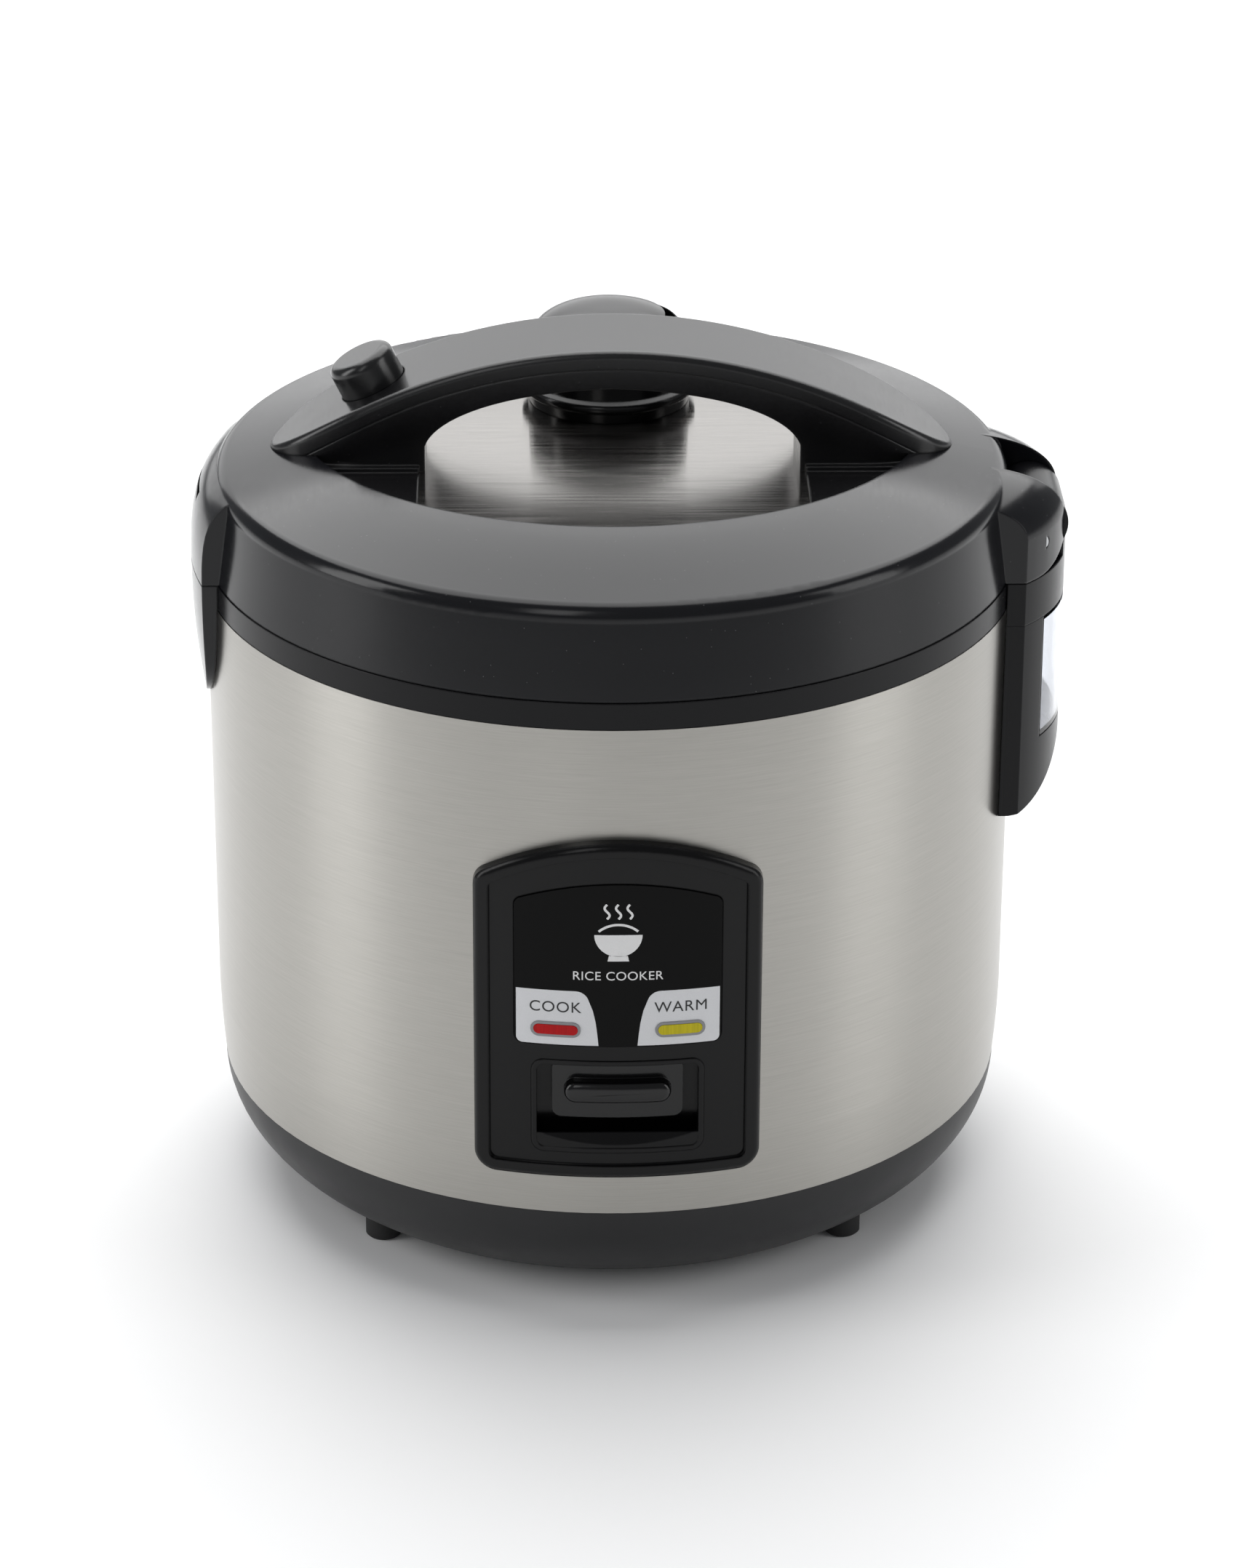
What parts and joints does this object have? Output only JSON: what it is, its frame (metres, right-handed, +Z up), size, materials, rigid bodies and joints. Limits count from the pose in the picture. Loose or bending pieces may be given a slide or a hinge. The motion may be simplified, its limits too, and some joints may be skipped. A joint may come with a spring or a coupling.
{
  "type": "rice cooker",
  "caption": "Round electric rice cooker with a brushed steel body, black hinged lid with an arched handle, release button, steam cap, dew cup, and a front panel with a cook lever.",
  "frame": {"origin": "centre of the round body, on the surface that the feet stand on", "axes": "+Z up, -Y towards the control panel, -X towards the latch and +X towards the lid's hinge"},
  "size_m": [0.2892, 0.275, 0.294],
  "materials": {
    "base_plastic": "satin moulded black",
    "brushed_steel": "brushed round the body",
    "inlay_steel": "fine brushed, near mirror",
    "gloss_black": "polished black",
    "collar_black": "semi-gloss black",
    "handle_black": "semi-gloss black",
    "vent_black": "gloss black",
    "panel_black": "gloss black",
    "label_silver": "silver print",
    "lever_plastic": "dark grey",
    "lens_red": "clear red",
    "lens_amber": "clear amber",
    "clear_plastic": "clear moulded plastic, slightly grey",
    "rubber_black": "matt",
    "silicone_grey": "soft grey",
    "drawn_aluminium": "satin",
    "cast_aluminium": "cast",
    "nonstick_coating": "dark non-stick",
    "zinc_steel": "zinc plated",
    "inner_plastic": "matt dark grey",
    "circuit_board": "resin board",
    "lamp_glass": "clear",
    "ferrite": "sintered",
    "heater_film": "foil heater"
  },
  "bodies": {
    "cooker_body": {"base_shell": "base_plastic", "rubber_feet": "rubber_black", "base_screws": "zinc_steel", "outer_casing": "brushed_steel", "upper_collar": "collar_black", "inner_liner": "drawn_aluminium", "keep_warm_heater": "heater_film", "heating_plate": "cast_aluminium", "heating_element": "zinc_steel", "element_terminals": "zinc_steel", "plate_posts": "zinc_steel", "thermal_fuse": "zinc_steel", "warm_thermostat": "zinc_steel", "thermostat_housing": "drawn_aluminium", "sensor_spring": "zinc_steel", "rocker_pin": "zinc_steel", "lever_bracket": "zinc_steel", "microswitch": "inner_plastic", "panel_bezel": "panel_black", "label_plate": "label_silver", "cook_lamp_lens": "lens_red", "warm_lamp_lens": "lens_amber", "lever_surround": "panel_black", "lamp_board": "circuit_board", "indicator_lamps": "lamp_glass", "power_inlet": "inner_plastic", "inlet_pins": "zinc_steel", "latch_cover": "gloss_black", "latch_strike": "zinc_steel", "hinge_bracket": "collar_black", "hinge_pin": "zinc_steel", "dew_cup_holder": "collar_black", "inner_pot": "nonstick_coating"},
    "lid": {"lid_shell": "gloss_black", "lid_inlay_plate": "inlay_steel", "lid_liner": "inner_plastic", "inner_lid_plate": "drawn_aluminium", "lid_gasket": "silicone_grey", "vent_seat": "inner_plastic", "handle_cover": "handle_black", "handle_base": "handle_black", "handle_screws": "zinc_steel", "button_spring": "zinc_steel"},
    "release_button": {"release_button": "handle_black"},
    "latch_slide": {"latch_slide": "inner_plastic"},
    "cook_lever": {"cook_lever": "lever_plastic"},
    "rocker_arm": {"rocker_arm": "zinc_steel"},
    "magnet_rod": {"magnet_rod": "zinc_steel"},
    "sensor_cap": {"sensor_cap": "drawn_aluminium", "sensor_ferrite": "ferrite"},
    "dew_cup": {"dew_cup": "clear_plastic"},
    "vent_cap": {"vent_cap": "vent_black"}
  },
  "joints": [
    {"name": "lid_hinge", "type": "hinge", "parent": "cooker_body", "child": "lid", "pos_m": [0.139, 0, 0.232], "axis": [0, 1, 0], "range_deg": [0, 85]},
    {"name": "button_press", "type": "slide", "parent": "lid", "child": "release_button", "axis": [0.4384, 0, -0.8988], "range_m": [0, 0.0045], "stiffness_N_per_m": 400, "springref_m": -0.005, "deforming": ["button_spring"]},
    {"name": "latch_draw", "type": "slide", "parent": "lid", "child": "latch_slide", "axis": [1, 0, 0], "range_m": [0, 0.0035]},
    {"name": "lever_slide", "type": "slide", "parent": "cooker_body", "child": "cook_lever", "axis": [0, 0, -1], "range_m": [0, 0.008], "stiffness_N_per_m": 80, "springref_m": -0.01},
    {"name": "rocker_turn", "type": "hinge", "parent": "cooker_body", "child": "rocker_arm", "pos_m": [0, -0.038, 0.03225], "axis": [1, 0, 0], "range_deg": [0, 5.7]},
    {"name": "magnet_lift", "type": "slide", "parent": "cooker_body", "child": "magnet_rod", "axis": [0, 0, 1], "range_m": [0, 0.0038]},
    {"name": "sensor_press", "type": "slide", "parent": "cooker_body", "child": "sensor_cap", "axis": [0, 0, -1], "range_m": [0, 0.0015], "stiffness_N_per_m": 800, "springref_m": -0.003, "deforming": ["sensor_spring"]},
    {"name": "dew_cup_pull", "type": "slide", "parent": "cooker_body", "child": "dew_cup", "axis": [1, 0, 0], "range_m": [0, 0.03]},
    {"name": "vent_cap_lift", "type": "slide", "parent": "lid", "child": "vent_cap", "axis": [0, 0, 1], "range_m": [0, 0.04]}
  ],
  "couplings": [
    {"joint": "latch_draw", "follows": "button_press", "ratio": 0.775},
    {"joint": "rocker_turn", "follows": "lever_slide", "rad_per_m": 12.2},
    {"joint": "magnet_lift", "follows": "lever_slide", "ratio": 0.4625}
  ]
}
